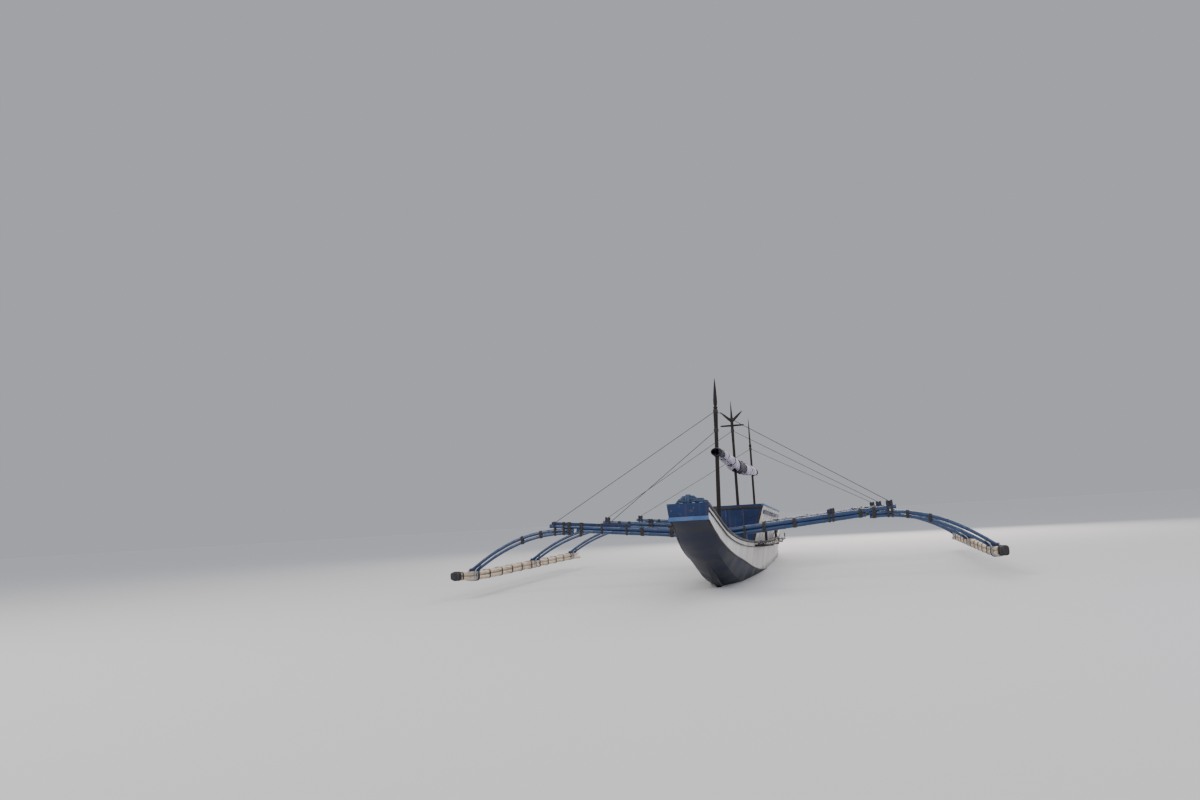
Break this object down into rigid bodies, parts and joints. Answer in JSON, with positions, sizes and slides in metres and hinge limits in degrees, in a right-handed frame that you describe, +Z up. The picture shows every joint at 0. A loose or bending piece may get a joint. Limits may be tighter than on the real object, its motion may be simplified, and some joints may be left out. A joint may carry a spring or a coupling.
{
  "type": "outrigger boat",
  "caption": "Wooden double-outrigger boat afloat, with bamboo floats on curved arms, masts, a rolled awning, a flared deckhouse coaming, rudder and propeller.",
  "frame": {"origin": "centreline amidships at the waterline", "axes": "+Z up, bow towards -Y, port side +X"},
  "size_m": [10.622, 16.3026, 4.5717],
  "materials": {
    "navy_hull_paint": "painted, low gloss",
    "white_side_paint": "painted, low gloss, weathered",
    "dark_trim_paint": "painted, worn",
    "blue_paint": "painted, low gloss",
    "faded_blue_paint": "painted, faded",
    "deck_paint": "painted, matte",
    "bare_wood": "worn, oiled",
    "blue_bamboo": "painted bamboo, satin",
    "pale_bamboo": "weathered bamboo",
    "mast_timber": "dark varnished",
    "awning_cloth": "woven, rolled",
    "stay_rope": "laid rope",
    "steel": "galvanised, dull",
    "bronze": "cast bronze",
    "engine_enamel": "enamel"
  },
  "bodies": {
    "hull": {"aft_deck": "deck_paint", "arm_1_port": "blue_bamboo", "arm_1_starboard": "blue_bamboo", "arm_2_port": "blue_bamboo", "arm_2_starboard": "blue_bamboo", "arm_3_port": "blue_bamboo", "arm_3_starboard": "blue_bamboo", "awning_roll": "awning_cloth", "boom_1": "blue_bamboo", "boom_2": "blue_bamboo", "boom_3": "blue_bamboo", "bow_band": "faded_blue_paint", "bow_bitt": "faded_blue_paint", "bow_face": "blue_paint", "bow_peg": "dark_trim_paint", "deckhouse_front": "blue_paint", "deckhouse_rail_port": "faded_blue_paint", "deckhouse_rail_starboard": "faded_blue_paint", "deckhouse_rear": "blue_paint", "deckhouse_wall_port": "white_side_paint", "deckhouse_wall_starboard": "white_side_paint", "engine_block": "engine_enamel", "engine_box": "white_side_paint", "float_port": "pale_bamboo", "float_starboard": "pale_bamboo", "floor": "bare_wood", "foredeck": "deck_paint", "guard_poles_port": "dark_trim_paint", "guard_poles_starboard": "dark_trim_paint", "gunwale_port": "dark_trim_paint", "gunwale_starboard": "dark_trim_paint", "keel": "navy_hull_paint", "lower_hull": "navy_hull_paint", "mast_1": "mast_timber", "mast_2": "mast_timber", "mast_3": "mast_timber", "rudder_bracket": "steel", "shaft_tube": "steel", "side_deck_port": "deck_paint", "side_deck_starboard": "deck_paint", "stay_1_low_starboard": "stay_rope", "stay_1_port": "stay_rope", "stay_1_starboard": "stay_rope", "stay_2_port": "stay_rope", "stay_2_starboard": "stay_rope", "stay_3_port": "stay_rope", "stay_3_starboard": "stay_rope", "thwart_1": "bare_wood", "thwart_2": "bare_wood", "thwart_3": "bare_wood", "topside_port": "white_side_paint", "topside_starboard": "white_side_paint", "transom": "navy_hull_paint"},
    "propeller": {"propeller": "bronze"},
    "rudder": {"rudder": "navy_hull_paint", "tiller": "bare_wood"},
    "engine_box_lid": {"engine_box_lid": "blue_paint"}
  },
  "joints": [
    {"name": "propeller_turn", "type": "hinge", "parent": "hull", "child": "propeller", "pos_m": [0, 7.28, -0.5], "axis": [0, 0.9859, -0.1676], "continuous": true},
    {"name": "rudder_swing", "type": "hinge", "parent": "hull", "child": "rudder", "pos_m": [0, 8, 0], "axis": [0, 0, 1], "range_deg": [-35, 35]},
    {"name": "engine_box_lid_hinge", "type": "hinge", "parent": "hull", "child": "engine_box_lid", "pos_m": [0, 2.435, 0.7606], "axis": [1, 0, 0], "range_deg": [0, 95]}
  ]
}
